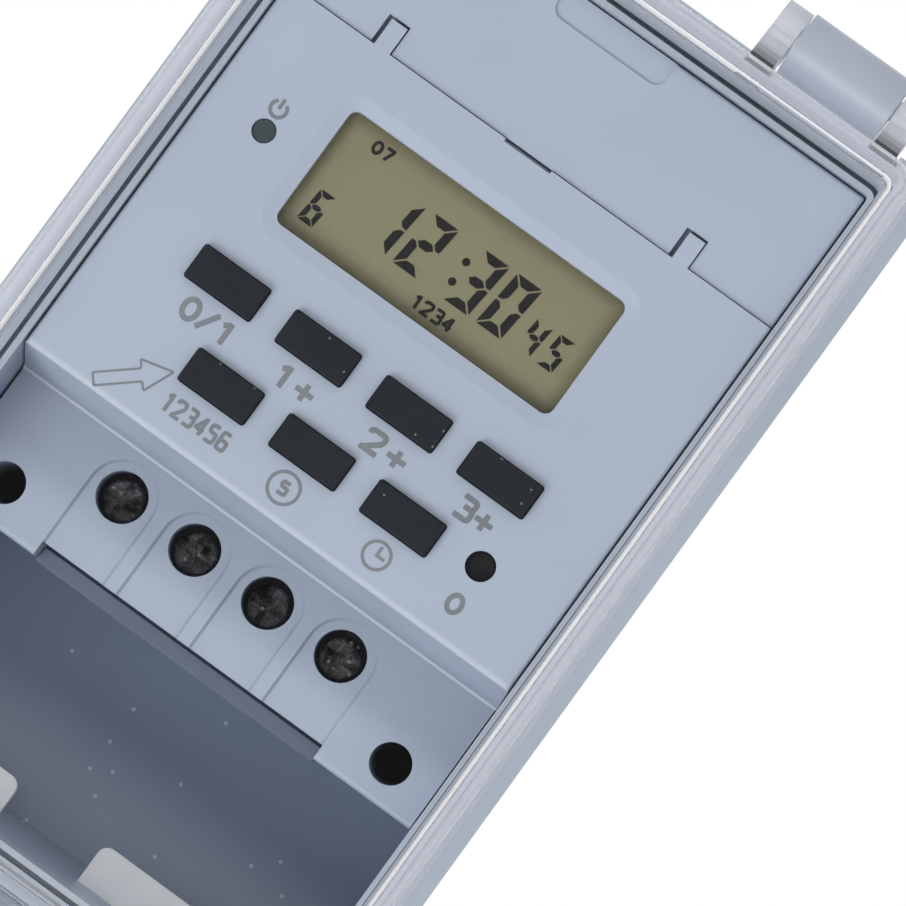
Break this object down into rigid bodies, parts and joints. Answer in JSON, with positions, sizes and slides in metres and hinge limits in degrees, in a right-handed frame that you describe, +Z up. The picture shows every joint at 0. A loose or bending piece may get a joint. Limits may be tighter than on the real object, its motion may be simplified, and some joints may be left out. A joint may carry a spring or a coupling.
{
  "type": "digital timer switch",
  "caption": "Wall-mounted digital timer switch: grey case, hinged clear cover, keypad module with display, stepped terminal deck and wiring bay with cable entries.",
  "frame": {"origin": "middle of the case's bottom edge, halfway between the cover's front and the case's back", "axes": "+X to the right as seen by the user, +Z up the wall, -Y out of the wall towards the user"},
  "size_m": [0.075, 0.055, 0.1272],
  "materials": {
    "case_grey": "satin moulded ABS",
    "module_grey": "satin moulded ABS",
    "carrier_plastic": "dark grey moulded polyamide",
    "clear_plastic": "clear moulded polycarbonate",
    "grommet_plastic": "pale translucent soft PVC",
    "pin_plastic": "translucent moulded polyamide",
    "clip_plastic": "moulded nylon",
    "key_rubber": "black silicone rubber",
    "reset_plastic": "black plastic",
    "led_plastic": "dark tinted lens",
    "window_plastic": "clear acrylic window",
    "display_lcd": "reflective display glass",
    "frame_plastic": "white plastic",
    "strip_rubber": "striped silicone rubber",
    "board_laminate": "green laminate",
    "switch_plastic": "black plastic",
    "header_metal": "black plastic with tinned pins",
    "relay_plastic": "blue plastic case",
    "film_box": "yellow box",
    "can_aluminium": "sleeved aluminium can",
    "varistor_coat": "dipped coating",
    "diode_glass": "black epoxy",
    "cell_sleeve": "green shrink sleeve",
    "contact_metal": "nickel plated spring steel",
    "clamp_steel": "blackened steel",
    "terminal_steel": "oiled plated steel",
    "fixing_steel": "blackened steel",
    "screw_zinc": "zinc plated steel"
  },
  "bodies": {
    "housing": {"base_case": "case_grey", "module_front": "module_grey", "module_rear": "module_grey", "terminal_carrier": "carrier_plastic", "cable_grommet_left": "grommet_plastic", "cable_grommet_right": "grommet_plastic", "hinge_pin_left": "pin_plastic", "hinge_pin_right": "pin_plastic", "status_led": "led_plastic", "display_window": "window_plastic", "display_glass": "display_lcd", "display_frame": "frame_plastic", "connector_strips": "strip_rubber", "control_board": "board_laminate", "power_board": "board_laminate", "key_switches": "switch_plastic", "board_header": "header_metal", "relay": "relay_plastic", "film_capacitor": "film_box", "bulk_capacitor": "can_aluminium", "varistor": "varistor_coat", "rectifier_diodes": "diode_glass", "backup_cell": "cell_sleeve", "cell_contacts": "contact_metal", "clamp_cages": "clamp_steel", "terminal_bars": "clamp_steel", "shell_screws": "screw_zinc", "control_board_screws": "screw_zinc", "power_board_screws": "screw_zinc"},
    "cover": {"clear_cover": "clear_plastic"},
    "battery_door_body": {"battery_door": "module_grey"},
    "rail_clip_body": {"rail_clip": "clip_plastic"},
    "reset_button_body": {"reset_button": "reset_plastic"},
    "key_1_body": {"key_1": "key_rubber"},
    "key_2_body": {"key_2": "key_rubber"},
    "key_3_body": {"key_3": "key_rubber"},
    "key_4_body": {"key_4": "key_rubber"},
    "key_5_body": {"key_5": "key_rubber"},
    "key_6_body": {"key_6": "key_rubber"},
    "key_7_body": {"key_7": "key_rubber"},
    "terminal_screw_1_body": {"terminal_screw_1": "terminal_steel"},
    "terminal_screw_2_body": {"terminal_screw_2": "terminal_steel"},
    "terminal_screw_3_body": {"terminal_screw_3": "terminal_steel"},
    "terminal_screw_4_body": {"terminal_screw_4": "terminal_steel"},
    "fixing_screw_left_body": {"fixing_screw_left": "fixing_steel"},
    "fixing_screw_right_body": {"fixing_screw_right": "fixing_steel"}
  },
  "joints": [
    {"name": "cover_hinge", "type": "hinge", "parent": "housing", "child": "cover", "pos_m": [0, -0.0135, 0.1236], "axis": [-1, 0, 0], "range_deg": [0, 110]},
    {"name": "battery_door_hinge", "type": "hinge", "parent": "housing", "child": "battery_door_body", "pos_m": [0, -0.0136, 0.0971], "axis": [1, 0, 0], "range_deg": [0, 35]},
    {"name": "rail_clip_slide", "type": "slide", "parent": "housing", "child": "rail_clip_body", "axis": [0, 0, -1], "range_m": [0, 0.003], "stiffness_N_per_m": 500},
    {"name": "reset_press", "type": "slide", "parent": "housing", "child": "reset_button_body", "axis": [0, 1, 0], "range_m": [0, 0.0006], "stiffness_N_per_m": 400},
    {"name": "key_1_press", "type": "slide", "parent": "housing", "child": "key_1_body", "axis": [0, 1, 0], "range_m": [0, 0.0005], "stiffness_N_per_m": 1000},
    {"name": "key_2_press", "type": "slide", "parent": "housing", "child": "key_2_body", "axis": [0, 1, 0], "range_m": [0, 0.0005], "stiffness_N_per_m": 1000},
    {"name": "key_3_press", "type": "slide", "parent": "housing", "child": "key_3_body", "axis": [0, 1, 0], "range_m": [0, 0.0005], "stiffness_N_per_m": 1000},
    {"name": "key_4_press", "type": "slide", "parent": "housing", "child": "key_4_body", "axis": [0, 1, 0], "range_m": [0, 0.0005], "stiffness_N_per_m": 1000},
    {"name": "key_5_press", "type": "slide", "parent": "housing", "child": "key_5_body", "axis": [0, 1, 0], "range_m": [0, 0.0005], "stiffness_N_per_m": 1000},
    {"name": "key_6_press", "type": "slide", "parent": "housing", "child": "key_6_body", "axis": [0, 1, 0], "range_m": [0, 0.0005], "stiffness_N_per_m": 1000},
    {"name": "key_7_press", "type": "slide", "parent": "housing", "child": "key_7_body", "axis": [0, 1, 0], "range_m": [0, 0.0005], "stiffness_N_per_m": 1000},
    {"name": "terminal_screw_1_turn", "type": "hinge", "parent": "housing", "child": "terminal_screw_1_body", "pos_m": [-0.01461, 0, 0.04181], "axis": [0, 1, 0], "continuous": true},
    {"name": "terminal_screw_2_turn", "type": "hinge", "parent": "housing", "child": "terminal_screw_2_body", "pos_m": [-0.00487, 0, 0.04181], "axis": [0, 1, 0], "continuous": true},
    {"name": "terminal_screw_3_turn", "type": "hinge", "parent": "housing", "child": "terminal_screw_3_body", "pos_m": [0.00487, 0, 0.04181], "axis": [0, 1, 0], "continuous": true},
    {"name": "terminal_screw_4_turn", "type": "hinge", "parent": "housing", "child": "terminal_screw_4_body", "pos_m": [0.01461, 0, 0.04181], "axis": [0, 1, 0], "continuous": true},
    {"name": "fixing_screw_left_turn", "type": "hinge", "parent": "housing", "child": "fixing_screw_left_body", "pos_m": [-0.0258, 0.01, 0.036], "axis": [0, 1, 0], "continuous": true},
    {"name": "fixing_screw_right_turn", "type": "hinge", "parent": "housing", "child": "fixing_screw_right_body", "pos_m": [0.0258, 0.01, 0.036], "axis": [0, 1, 0], "continuous": true}
  ]
}
